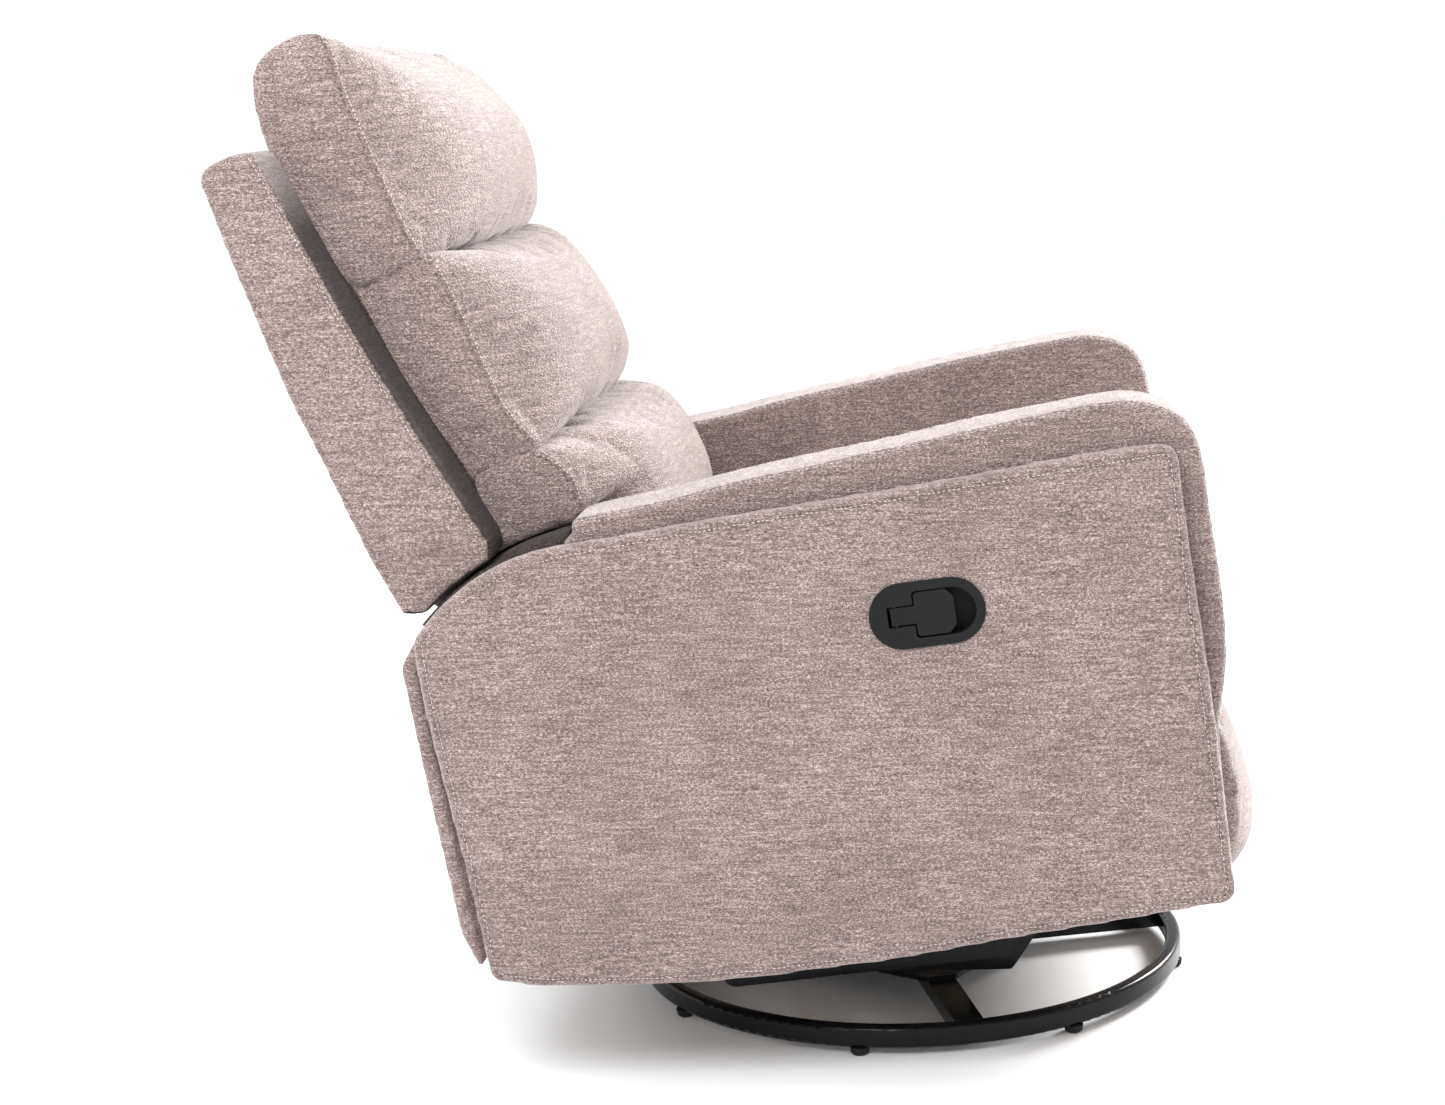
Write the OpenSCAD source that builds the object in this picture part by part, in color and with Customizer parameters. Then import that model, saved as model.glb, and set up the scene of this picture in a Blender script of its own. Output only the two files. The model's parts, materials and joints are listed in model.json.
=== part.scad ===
// Swivel glider recliner armchair with a lift-out footrest.
// Frame: millimetres, +Z up, the chair faces -Y and the occupant's right hand is on the -X side.
// The origin is on the swivel axis at floor level. The seat is drawn level and stored rocked back.

/* [Base] */
// Mean radius of the floor ring
ring_r = 290; // [270:1:310]
// Width of the ring tube, seen from above
ring_w = 16; // [12:1:22]
// Height of the ring tube
ring_h = 23; // [18:1:26]
// Height of the rubber glides under the ring
foot_h = 8; // [6:1:12]
// Turn of the spokes about the swivel axis
spoke_turn = 13.3; // [0:0.1:40]
// Width of the spoke tubes
spoke_w = 30; // [24:1:36]

/* [Glide] */
// Backward tilt of the seat in the stored pose
tilt = 5.6; // [4.5:0.1:6]
// Length of the hanging links between pivots
glide_link_len = 109.2; // [108:0.1:111]
// Lean of the rear links from plumb in the stored pose
rear_link_lean = 4.84; // [4:0.01:6]
// Lean of the front links from plumb in the stored pose
front_link_lean = 40.17; // [39:0.01:41]
// Radial clearance at the front links' lower pivots, where the closed linkage is opened
open_pivot_gap = 4; // [3.5:0.1:4.5]

/* [Seat] */
// Overall half width over the side panels
half_w = 388; // [380:1:400]
// Thickness of the side panels
panel_t = 26; // [20:1:30]
// Half width between the arms
seat_half_w = 265; // [260:1:268]
// Height of the seat cushion's top
seat_top = 468; // [455:1:470]
// Radius of the side panels' round rear shoulder about the recline axis
shoulder_r = 239; // [236:1:240]

/* [Backrest] */
// Half width of the back slab
slab_half_w = 365; // [355:1:368]
// Half width of the headrest cushion
head_half_w = 300; // [280:1:310]
// Half width of the middle cushion
middle_half_w = 295; // [275:1:305]

/* [Footrest] */
// Length of the swing links between pivots
swing_len = 185; // [180:1:190]
// Angle of the swing links in the folded pose, from the rearward axis
swing_start = -75; // [-78:1:-72]
// Half width of the footrest pad
pad_half_w = 257; // [245:1:258]

/* [Hidden] */
$fn = 64;

// Colours
FABRIC = [0.66, 0.59, 0.55];
BLACK = [0.05, 0.05, 0.055];
STEEL = [0.62, 0.62, 0.64];
WOOD = [0.78, 0.63, 0.43];
NYLON = [0.9, 0.9, 0.88];
WEBBING = [0.2, 0.2, 0.22];

// Heights up the base, from the floor
ring_top = foot_h + ring_h;
spoke_h = 17;
spoke_z = ring_top - 3 - spoke_h;
hub_z = spoke_z + spoke_h;
hub_t = 5;
lower_race_z = hub_z + hub_t;
race_t = 4;
ball_r = 4;
ball_ring_r = 88;
upper_race_z = lower_race_z + race_t + 5;
carriage_z = upper_race_z + race_t;
carriage_tube_h = 20;

// Layers across the chair, as distances from the middle plane
side_x = 184;
side_t = 5;
link_x = 193;
link_t = 5;
rail_x = 202;
rail_t = 4;
layer_inner = 208;
layer_middle = 214;
layer_outer = 220;
strap_t = 4;

// Pivots of the seat rails, level frame
rail_mid_y = 32.6;
rail_half = 130;
rail_pin_z = 75.4;
pin_r = 6;
run_gap = 0.05;
bushing_proud = 1.2;
rail_rear = [rail_mid_y + rail_half, rail_pin_z];
rail_front = [rail_mid_y - rail_half, rail_pin_z];

// Cross tubes of the mechanism, level frame
tube_at = [[-213, 314], [195, 314]];
tube_r = 11;

// Footrest pivots, level frame
f1 = [-56, 316];
f2 = [-10, 316];
swing = swing_len * [cos(swing_start), sin(swing_start)];
f3 = f1 + swing;
f4 = f2 + swing;
steer_offset = [-4, 48];
f5 = f4 + steer_offset;
f6 = [-290, 214];
f7 = f6 + steer_offset;
rivet_r = 5;
head_t = 1.4;

// Recline axis, level frame
recline = [230, 335];
recline_pin_r = 8;
plate_x = 222;
plate_t = 5;
slab_r = shoulder_r + 6;

// Rear and front faces of the back slab, level frame, bottom to top
slab_rear = [[413, 525], [433, 577], [482, 745], [508, 866], [528, 962]];
slab_front = [[334, 621], [393, 757], [421, 824], [474, 973]];

// Release handle, level frame
handle_at = [-86, 466];
bezel_l = 109;
bezel_h = 63;
cable_r = 2.5;
paddle_pivot_y = 30;
paddle_pivot_x = half_w - 4;

// Latch, level frame
latch_at = [74, 306];

// Turns a level point to its place in the stored pose
function stored(p) = [p[0] * cos(tilt) + p[1] * sin(tilt), p[1] * cos(tilt) - p[0] * sin(tilt)];

// Upper ends of the glide links, stored pose
hang_rear = stored(rail_rear) + glide_link_len * [-sin(rear_link_lean), cos(rear_link_lean)];
hang_front = stored(rail_front) + glide_link_len * [-sin(front_link_lean), cos(front_link_lean)];

function unit(v) = v / norm(v);

// Points of a round corner of radius r at b, between a and c
function corner(a, b, c, r) =
  let (
    u = unit(a - b),
    w = unit(c - b),
    half = acos(u * w) / 2,
    centre = b + unit(u + w) * r / sin(half),
    start = b + u * r / tan(half) - centre,
    from = atan2(start[1], start[0]),
    turn = (u[0] * w[1] - u[1] * w[0] > 0 ? -1 : 1) * (180 - 2 * half),
    steps = max(2, ceil(abs(turn) / 12))
  )
  [for (k = [0:steps]) centre + r * [cos(from + turn * k / steps), sin(from + turn * k / steps)]];

// An outline of [y, z, corner radius] rows, with its corners rounded
function rounded(rows) =
  let (n = len(rows), at = [for (p = rows) [p[0], p[1]]])
  [for (i = [0:n - 1]) each rows[i][2] > 0
    ? corner(at[(i + n - 1) % n], at[i], at[(i + 1) % n], rows[i][2]) : [at[i]]];

// Points along an arc about c
function arc(c, r, from, to, steps) =
  [for (k = [0:steps]) c + r * [cos(from + (to - from) * k / steps), sin(from + (to - from) * k / steps)]];

// The same points with no corner radius, for mixing with rounded rows
function sharp(points) = [for (p = points) [p[0], p[1], 0]];

function shifted(points, dy) = [for (p = points) [p[0] + dy, p[1]]];

function reversed(points) = [for (i = [len(points) - 1:-1:0]) points[i]];

// Tips the level seat back into its stored pose
module rocked() { rotate([-tilt, 0, 0]) children(); }

// A flat shape drawn in (y, z), filling x0 to x1
module slab_x(x0, x1) { translate([x0, 0, 0]) rotate([90, 0, 90]) linear_extrude(x1 - x0) children(); }

// The same on both sides of the chair
module both_sides(x0, x1) {
  slab_x(x0, x1) children();
  slab_x(-x1, -x0) children();
}

// A round bar along X
module bar_x(at, r, x0, x1) { translate([x0, at[0], at[1]]) rotate([0, 90, 0]) cylinder(r = r, h = x1 - x0); }

// A flat strap outline between pivots a and b, with eyes a little wider than the bar
module strap(a, b, w) {
  along = b - a;
  bar_w = w - 1;
  translate(a) rotate(atan2(along[1], along[0])) translate([0, -bar_w / 2]) square([norm(along), bar_w]);
  translate(a) circle(d = w);
  translate(b) circle(d = w);
}

// A strap with a bore at each end
module drilled_strap(a, b, w, ra, rb) {
  difference() {
    strap(a, b, w);
    translate(a) circle(r = ra);
    translate(b) circle(r = rb);
  }
}

// A headed pin along X; the heads sit outside x0 and x1
module rivet(at, r, x0, x1, head_r, head_t) {
  bar_x(at, r, x0, x1);
  bar_x(at, head_r, x0 - head_t, x0);
  bar_x(at, head_r, x1, x1 + head_t);
}

// A rivet on each side of the chair
module rivet_pair(at, r, x0, x1, head_r, head_t) {
  rivet(at, r, x0, x1, head_r, head_t);
  rivet(at, r, -x1, -x0, head_r, head_t);
}

// ---- Base ----

module base_ring() {
  color(BLACK) rotate_extrude($fn = 96) translate([ring_r - ring_w / 2, foot_h]) round_section();
}

// Rounded section of the ring tube
module round_section() {
  r = 5;
  translate([r, 0]) square([ring_w - 2 * r, ring_h]);
  translate([0, r]) square([ring_w, ring_h - 2 * r]);
  for (x = [r, ring_w - r], y = [r, ring_h - r]) translate([x, y]) circle(r = r);
}

module base_spokes() {
  inner = 60;
  color(BLACK) for (k = [0:3]) rotate(spoke_turn + 90 * k) intersection() {
    translate([inner, -spoke_w / 2, spoke_z]) cube([ring_r - inner, spoke_w, spoke_h]);
    cylinder(r = ring_r - ring_w / 2, h = ring_top, $fn = 96);
  }
}

module hub_plate() {
  half_diag = 176;
  clip = 160;
  color(BLACK) translate([0, 0, hub_z]) rotate(spoke_turn) difference() {
    intersection() {
      rotate(45) translate([-half_diag / sqrt(2), -half_diag / sqrt(2), 0]) cube([half_diag * sqrt(2), half_diag * sqrt(2), hub_t]);
      translate([-clip, -clip, 0]) cube([2 * clip, 2 * clip, hub_t]);
    }
    translate([0, 0, -1]) cylinder(r = 15, h = hub_t + 2);
    for (k = [0:3]) rotate(45 + 90 * k) translate([62, 0, -1]) cylinder(r = 4.3, h = hub_t + 2);
  }
}

module floor_glides() {
  first = spoke_turn + 22.5;
  color([0.09, 0.09, 0.09]) for (k = [0:7]) rotate(first + 45 * k) translate([ring_r, 0, 0])
    rotate_extrude() polygon([[0, 0], [7, 0], [9, 2], [10, foot_h], [0, foot_h]]);
}

module lower_race() {
  color(STEEL) translate([0, 0, lower_race_z]) difference() {
    cylinder(r = 105, h = race_t);
    translate([0, 0, -1]) cylinder(r = 15, h = race_t + 2);
    translate([0, 0, race_t + 2.5]) rotate_extrude() translate([ball_ring_r, 0]) circle(r = ball_r + 0.15);
    for (k = [0:3]) rotate(45 + spoke_turn + 90 * k) translate([62, 0, -1]) cylinder(r = 4.3, h = race_t + 2);
  }
}

module hub_bolts() {
  color(STEEL) for (k = [0:3]) rotate(45 + spoke_turn + 90 * k) translate([62, 0, 0]) {
    translate([0, 0, hub_z - 8]) cylinder(r = 4, h = 8 + hub_t + race_t);
    translate([0, 0, hub_z - 6]) cylinder(r = 7, h = 6, $fn = 6);
    translate([0, 0, lower_race_z + race_t]) cylinder(r = 6.5, h = 2.5);
  }
}

// ---- Carriage ----

module upper_race() {
  color(STEEL) translate([0, 0, upper_race_z]) difference() {
    cylinder(r = 105, h = race_t);
    translate([0, 0, -1]) cylinder(r = 12.3, h = race_t + 2);
    translate([0, 0, -2.5]) rotate_extrude() translate([ball_ring_r, 0]) circle(r = ball_r + 0.15);
    for (x = [-60, 60], y = [-50, 50]) translate([x, y, -1]) cylinder(r = 4.3, h = race_t + 2);
  }
}

module bearing_balls() {
  color(STEEL) for (k = [0:11]) rotate(30 * k) translate([ball_ring_r, 0, lower_race_z + race_t + 2.5]) sphere(r = ball_r, $fn = 32);
}

module swivel_pin() {
  color(STEEL) {
    translate([0, 0, hub_z - 8]) cylinder(r = 12, h = carriage_z + 5 + 6 - hub_z + 8);
    translate([0, 0, hub_z - 10]) cylinder(r = 22, h = 8);
    translate([0, 0, carriage_z + 5]) cylinder(r = 19, h = 10, $fn = 6);
  }
}

module carriage_frame() {
  tube_y = [-95, 8];
  color(BLACK) difference() {
    union() {
      translate([-75, -95, carriage_z]) cube([150, 190, 5]);
      for (y = tube_y) translate([-side_x, y, carriage_z + 5]) cube([2 * side_x, 30, carriage_tube_h]);
    }
    translate([0, 0, carriage_z - 1]) cylinder(r = 12.3, h = 8);
    // Room for the swivel pin's nut
    translate([0, 0, carriage_z + 5]) cylinder(r = 21, h = carriage_tube_h + 1);
    for (x = [-60, 60], y = [-50, 50]) translate([x, y, carriage_z - 1]) cylinder(r = 4.3, h = 8);
  }
}

// Side plate of the carriage: a low bar with a tower up to each hanging pivot
module carriage_side(x0) {
  foot = carriage_z + 5;
  color(BLACK) slab_x(x0, x0 + side_t) difference() {
    polygon(rounded([
      [-110, foot, 6], [46, foot, 8], [76, 86, 16], [196, 86, 10], [196, 104, 8], [179, 124, 12],
      [hang_rear[0] + 17, hang_rear[1] + 16, 15], [hang_rear[0] - 17, hang_rear[1] + 16, 15],
      [112, 114, 20], [22, 84, 24], [-84, 84, 24], [hang_front[0] + 17, hang_front[1] + 16, 15],
      [hang_front[0] - 17, hang_front[1] + 16, 15], [hang_front[0] - 17, hang_front[1] - 20, 20]
    ]));
    for (p = [hang_rear, hang_front]) translate(p) circle(r = pin_r);
  }
}

module carriage_side_left() { carriage_side(side_x); }

module carriage_side_right() { carriage_side(-side_x - side_t); }

module carriage_bolts() {
  color(STEEL) for (x = [-60, 60], y = [-50, 50]) translate([x, y, 0]) {
    translate([0, 0, carriage_z - race_t]) cylinder(r = 4, h = race_t + 5 + 6);
    translate([0, 0, carriage_z + 5]) cylinder(r = 7, h = 5, $fn = 6);
  }
}

// Rubber stops behind the rear links, on the side plates
module glide_bumpers() {
  at = [188, 94];
  color([0.09, 0.09, 0.09]) {
    bar_x(at, 7.5, side_x + side_t, link_x + link_t);
    bar_x(at, 7.5, -link_x - link_t, -side_x - side_t);
  }
}

module upper_pivot_pins() {
  color(BLACK) for (p = [hang_rear, hang_front]) rivet_pair(p, pin_r, side_x, link_x + link_t + bushing_proud, 10, 1.8);
}

// ---- Glide links ----

module glide_links(top, bottom, bottom_r) {
  w = 26;
  color(BLACK) both_sides(link_x, link_x + link_t) difference() {
    strap(top, bottom, w);
    translate(top) circle(r = pin_r + 2.5);
    translate(bottom) circle(r = bottom_r);
  }
}

// Nylon bushing in a link's eye
module bushings(at, outer_r, inner_r) {
  color(NYLON) both_sides(link_x - bushing_proud, link_x + link_t + bushing_proud) translate(at) difference() {
    circle(r = outer_r);
    circle(r = inner_r);
  }
}

module rear_glide_links() { glide_links(hang_rear, stored(rail_rear), pin_r + 2.5); }

module rear_link_bushings() {
  bushings(hang_rear, pin_r + 2.5, pin_r + run_gap);
  bushings(stored(rail_rear), pin_r + 2.5, pin_r + run_gap);
}

module front_glide_links() { glide_links(hang_front, stored(rail_front), pin_r + open_pivot_gap); }

module front_link_bushings() { bushings(hang_front, pin_r + 2.5, pin_r + run_gap); }

// ---- Seat mechanism ----

// Seat rail: a bar between the lower pivots with an upright at each end
module seat_rail(x0) {
  color(BLACK) rocked() slab_x(x0, x0 + rail_t) difference() {
    polygon(rounded([
      [rail_front[0] - 18, rail_pin_z - 15, 14], [rail_rear[0] + 18, rail_pin_z - 15, 14],
      [222, 250, 20], [222, 330, 4], [168, 330, 4], [168, 250, 20], [rail_rear[0] - 22, 98, 20],
      [rail_front[0] + 20, 98, 20], [-186, 250, 20], [-186, 330, 4], [-240, 330, 4], [-240, 250, 20]
    ]));
    for (p = [rail_front, rail_rear]) translate(p) circle(r = pin_r);
    for (p = tube_at) translate(p) circle(r = tube_r);
  }
}

module seat_rail_left() { seat_rail(rail_x); }

module seat_rail_right() { seat_rail(-rail_x - rail_t); }

// Mechanism plate: carries the footrest and recline pivots, the cross tubes and, on one side, the latch
module mechanism_plate(x0, latch) {
  color(STEEL) rocked() slab_x(x0, x0 + strap_t) difference() {
    polygon(rounded([
      [-262, 308, 6], [-190, 292, 0], [252, 292, 10], [252, 352, 14], [208, 352, 14], [208, 332, 4],
      [-262, 332, 4]
    ]));
    for (p = [f1, f2]) translate(p) circle(r = rivet_r);
    translate(recline) circle(r = recline_pin_r);
    for (p = tube_at) translate(p) circle(r = tube_r);
    if (latch) translate(latch_at) circle(r = rivet_r);
  }
}

module mechanism_plate_left() { mechanism_plate(layer_middle, false); }

module mechanism_plate_right() { mechanism_plate(-layer_middle - strap_t, true); }

// Cross tubes from rail to rail, with collars that space the mechanism plates off the rails
module cross_tubes() {
  color(BLACK) rocked() for (p = tube_at) {
    bar_x(p, tube_r, -layer_middle - strap_t, layer_middle + strap_t);
    for (s = [-1, 1]) bar_x(p, tube_r + 5, min(s * (rail_x + rail_t), s * layer_middle), max(s * (rail_x + rail_t), s * layer_middle));
  }
}

module lower_pivot_pins() {
  color(BLACK) rocked() for (p = [rail_front, rail_rear]) rivet_pair(p, pin_r, link_x - bushing_proud, rail_x + rail_t, 10, 1.8);
}

deck_z = 333;
deck_h = 16;
deck_half = 258;

// Wooden seat deck, four rails on the mechanism plates
module deck_frame() {
  color(WOOD) rocked() {
    translate([-deck_half, -300, deck_z]) cube([2 * deck_half, 34, deck_h]);
    translate([-deck_half, 160, deck_z]) cube([2 * deck_half, 34, deck_h]);
    for (x = [-deck_half, deck_half - 50]) translate([x, -266, deck_z]) cube([50, 426, deck_h]);
  }
}

// One wavy seat spring along Y, from its centre line out to both sides
function wave(y, pitch) = 18 * sin(360 * y / pitch);
module sinuous_spring(x, y0, y1) {
  pitch = 56;
  wire = 3.6;
  steps = 96;
  ys = [for (k = [0:steps]) y0 + (y1 - y0) * k / steps];
  // Slope of the wave, to keep the wire's width even
  tilt_at = [for (y = ys) atan(18 * 2 * PI / pitch * cos(360 * y / pitch))];
  near = [for (k = [0:steps]) [wave(ys[k], pitch) + wire / 2 * cos(tilt_at[k]), ys[k] - wire / 2 * sin(tilt_at[k])]];
  far = [for (k = [0:steps]) [wave(ys[k], pitch) - wire / 2 * cos(tilt_at[k]), ys[k] + wire / 2 * sin(tilt_at[k])]];
  translate([x, 0, deck_z + deck_h]) linear_extrude(wire) polygon(concat(near, reversed(far)));
}

module seat_springs() {
  color(STEEL) rocked() for (x = [-150, -50, 50, 150]) sinuous_spring(x, -294, 188);
}

module seat_cushion() {
  front = -338;
  under = deck_z + deck_h + 4;
  color(FABRIC) rocked() slab_x(3 - seat_half_w, seat_half_w - 3) polygon(rounded([
    [front, 322, 12], [front, seat_top, 46], [212, seat_top - 2, 22], [212, under, 8],
    [-303, under, 0], [-303, 322, 6]
  ]));
}

// ---- Arms and covers ----

arm_top = [[290, 588], [-45, 616], [-262, 633]];

// Arm frame: plywood board with a top rail and a front post, seen from its own side
module arm_frame(side) {
  board = half_w - panel_t;
  x = board - 16;
  color(WOOD) rocked() mirror([side > 0 ? 0 : 1, 0, 0]) difference() {
    union() {
      slab_x(x, board) polygon(rounded(concat(
        [[-322, 158, 4], [380, 158, 4]],
        sharp(arc(recline, shoulder_r - 10, 44, 84, 8)),
        [[-308, 580, 20]]
      )));
      translate([0, -40, 0]) slab_x(seat_half_w + 22, x) polygon([[-268, 158], [-228, 158], [-228, 566], [-268, 572]]);
      slab_x(seat_half_w + 22, x) polygon([[-268, 548], [150, 534], [150, 558], [-268, 572]]);
    }
    if (side < 0) translate([x - 1, handle_at[0] - 12, handle_at[1] - 12]) cube([20, 24, 24]);
  }
}

module arm_frame_left() { arm_frame(1); }

module arm_frame_right() { arm_frame(-1); }

// Arm pad: foam and fabric over the top, front and inner side of the arm frame
module arm_pad(side) {
  outer = half_w - panel_t - 0.5;
  color(FABRIC) rocked() mirror([side > 0 ? 0 : 1, 0, 0]) {
    slab_x(seat_half_w, seat_half_w + 18) polygon(rounded([
      [-338, 152, 6], [-338, 326, 10], [-358, 348, 20], [-358, 632, 60], [-262, 632, 0], [-45, 616, 0],
      [292, 589, 26], [292, 500, 26], [214, 480, 10], [214, 322, 4], [-250, 322, 8], [-250, 152, 4]
    ]));
    slab_x(seat_half_w + 18, outer) polygon(rounded([
      [-338, 152, 4], [-338, 326, 10], [-358, 348, 20], [-358, 632, 60], [-262, 632, 0], [-45, 616, 0],
      [292, 589, 12], [292, 564, 11], [-45, 592, 0], [-310, 606, 14], [-326, 348, 0], [-326, 152, 4]
    ]));
  }
}

module arm_pad_left() { arm_pad(1); }

module arm_pad_right() { arm_pad(-1); }

// Outline of the side panels: a round rear shoulder about the recline axis, a gently bellied bottom
module panel_outline() {
  polygon(rounded(concat(
    [[-338, 150, 13], [-107, 140, 0], [8, 132, 0], [123, 130, 0], [239, 135, 0], [336, 147, 0], [384, 158, 14]],
    [[394, 316, 0], [402, 455, 0]],
    sharp(arc(recline, shoulder_r, 44, 88, 10)),
    [[-60, 583, 0], [-332, 593, 15]]
  )));
}

module side_panel_left() {
  color(FABRIC) rocked() slab_x(half_w - panel_t, half_w) panel_outline();
}

module side_panel_right() {
  color(FABRIC) rocked() slab_x(-half_w, panel_t - half_w) difference() {
    panel_outline();
    translate(handle_at) stadium(bezel_l - 9, bezel_h - 9);
  }
}

// Rear panel: closes the back of the seat box between the side panels
module rear_panel() {
  front = [[392, 172], [396, 234], [399, 316], [404, 403], [408, 468], [399, 494], [394, 504]];
  back = [[395, 168], [408, 203], [416, 316], [420, 403], [422, 474], [420, 480], [408, 498], [400, 506]];
  wide = 372;
  color(FABRIC) rocked() difference() {
    slab_x(-wide, wide) polygon(concat(front, reversed(back)));
    both_sides(half_w - panel_t, wide + 1) panel_outline();
  }
}

// ---- Release handle ----

module stadium(l, h) {
  square([l - h, h], center = true);
  for (s = [-1, 1]) translate([s * (l - h) / 2, 0]) circle(d = h);
}

// T-shaped outline of the paddle: narrow neck to the rear, wide blade with cut corners to the front
module paddle_outline(grow) {
  neck_end = 34 + 2 * grow;
  translate([6, -8.5 - grow]) square([neck_end - 6, 17 + 2 * grow]);
  polygon(rounded([
    [11 + grow, -21 - grow, 4], [11 + grow, 21 + grow, 4], [-19, 21 + grow, 2], [-26 - grow, 13 + grow, 2],
    [-26 - grow, -13 - grow, 2], [-19, -21 - grow, 2]
  ]));
}

// Places the handle's own frame: +Y rearward
module at_handle() { rocked() translate([0, handle_at[0], handle_at[1]]) children(); }

module handle_bezel() {
  lip = 3;
  deep = 24;
  finger_r = 22.5;
  finger_y = -23.5;
  color(BLACK) at_handle() difference() {
    union() {
      slab_x(-half_w - lip, -half_w) stadium(bezel_l, bezel_h);
      slab_x(-half_w, deep - half_w) stadium(bezel_l - 10, bezel_h - 10);
    }
    slab_x(-half_w - lip - 1, deep - 3 - half_w) {
      paddle_outline(1.5);
      translate([finger_y, 0]) circle(r = finger_r);
      translate([finger_y, -finger_r]) square([20, 2 * finger_r]);
    }
    translate([-paddle_pivot_x, paddle_pivot_y, -15]) cylinder(r = 1.6, h = 30);
    translate([-half_w, 0, 0]) rotate([0, 90, 0]) cylinder(r = cable_r + 0.7, h = deep + 1);
  }
}

module paddle_pin() {
  color(STEEL) at_handle() translate([-paddle_pivot_x, paddle_pivot_y, -15]) cylinder(r = 1.6, h = 30);
}

module handle_paddle() {
  blade = 4;
  color(BLACK) at_handle() difference() {
    union() {
      slab_x(-half_w - 1.5, blade - 1.5 - half_w) paddle_outline(0);
      translate([-paddle_pivot_x, paddle_pivot_y, -8]) cylinder(r = 3.9, h = 16);
    }
    translate([-paddle_pivot_x, paddle_pivot_y, -10]) cylinder(r = 1.6 + run_gap, h = 20);
  }
}

// Release cable: from the handle down inside the arm and under the deck to the latch
cable_route = [
  [-363.5, -86, 466], [-350, -86, 466], [-334, -82, 458], [-323, -60, 424], [-317, -14, 366],
  [-308, 34, 326], [-288, 68, 308], [-262, 84, 306], [-240, 88, 306], [-219, 88, 306]
];

// A round tube swept along a route
module swept_tube(route, r, sides) {
  last = len(route) - 1;
  upright = [0, 0.3, 1];
  rings = [for (i = [0:last])
    let (
      along = unit(route[min(i + 1, last)] - route[max(i - 1, 0)]),
      u = unit(cross(along, upright)),
      v = cross(along, u)
    )
    for (k = [0:sides - 1]) route[i] + r * (u * cos(360 * k / sides) + v * sin(360 * k / sides))];
  walls = [for (i = [0:last - 1], k = [0:sides - 1])
    [i * sides + k, i * sides + (k + 1) % sides, (i + 1) * sides + (k + 1) % sides, (i + 1) * sides + k]];
  ends = [[for (k = [sides - 1:-1:0]) k], [for (k = [0:sides - 1]) last * sides + k]];
  polyhedron(rings, concat(walls, ends), convexity = 4);
}

module release_cable() { color(BLACK) rocked() swept_tube(cable_route, cable_r, 10); }

// Latch pawl on the right-hand plate; its nose stands just clear of the torque tube's cam
latch_x = 197;
latch_t = 4;
cam_r = 24;
module latch_pawl() {
  nose_r = 7;
  reach = f2 + (cam_r + nose_r + 1) * unit(latch_at - f2);
  color(STEEL) rocked() slab_x(-latch_x - latch_t, -latch_x) difference() {
    union() {
      strap(latch_at, reach, 2 * nose_r);
      strap(latch_at, latch_at + [20, -12], 12);
      translate(latch_at) circle(r = 10);
    }
    translate(latch_at) circle(r = rivet_r + run_gap);
  }
}

// ---- Recline ----

module recline_pins() {
  color(BLACK) rocked() rivet_pair(recline, recline_pin_r, layer_middle, plate_x + plate_t + 0.5, 13, 2.5);
}

// Steel plates from the back frame's posts down to the recline axis
module recline_plates() {
  color(BLACK) rocked() both_sides(plate_x, plate_x + plate_t) difference() {
    polygon(rounded([
      [214, 317, 14], [248, 317, 14], [253, 480, 0], [302, 565, 0], [349, 645, 6], [316, 645, 6],
      [268, 578, 0], [217, 484, 0]
    ]));
    translate(recline) circle(r = recline_pin_r + run_gap);
  }
}

// Room for the recline plates where they pass into the cushion and the slab
module plate_slots() {
  both_sides(plate_x - 1.5, plate_x + plate_t + 1.5)
    polygon([[212, 470], [258, 470], [306, 560], [358, 652], [306, 652], [262, 580], [212, 490]]);
}

// The slab's own depth band, inset from its rear and front faces, between two heights
module slab_band(rear_in, front_in, z0, z1) {
  intersection() {
    polygon(concat(shifted(slab_rear, -rear_in), reversed(shifted(slab_front, front_in))));
    translate([300, z0]) square([260, z1 - z0]);
  }
}

// Wooden back frame: two posts between the recline plates, with rails across
module back_frame() {
  post_w = 38;
  rail_half_w = 325;
  color(WOOD) rocked() {
    both_sides(plate_x - post_w, plate_x) slab_band(16, 14, 570, 940);
    slab_x(-plate_x, plate_x) slab_band(16, 14, 585, 625);
    for (z = [740, 900]) slab_x(-rail_half_w, rail_half_w) slab_band(16, 14, z, z + 40);
  }
}

module back_webbing() {
  half = 325;
  color(WEBBING) rocked() for (z = [660, 700, 800, 850]) slab_x(-half, half) intersection() {
    polygon(concat(shifted(slab_front, 11.5), reversed(shifted(slab_front, 13.5))));
    translate([300, z]) square([260, 34]);
  }
}
// Outline of the upholstered slab; its bottom is an arc about the recline axis
module slab_outline() {
  polygon(concat(
    arc(recline, slab_r, 69.5, 46.5, 6),
    [for (p = slab_rear) p],
    rounded([[528, 962, 0], [524, 981, 12], [476, 981, 6], [474, 973, 0]]),
    reversed(slab_front)
  ));
}

module back_slab() {
  pocket = 330;
  color(FABRIC) rocked() difference() {
    slab_x(-slab_half_w, slab_half_w) slab_outline();
    slab_x(-pocket, pocket) slab_band(15, 11, 569, 941);
    plate_slots();
  }
}

module cushion(half, rows) { color(FABRIC) rocked() slab_x(-half, half) polygon(rounded(rows)); }

module headrest_cushion() {
  cushion(head_half_w, [
    [302, 862, 26], [296, 930, 160], [322, 1036, 70], [408, 1080, 30], [484, 1062, 26], [487, 1006, 60],
    [474, 984, 0], [473, 973, 0], [429, 849.5, 0], [418, 843, 10]
  ]);
}

module middle_cushion() {
  cushion(middle_half_w, [
    [234, 668, 14], [221, 700, 40], [248, 800, 90], [300, 860, 22], [415, 840, 8], [391.5, 757, 0], [343, 649, 6]
  ]);
}

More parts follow.
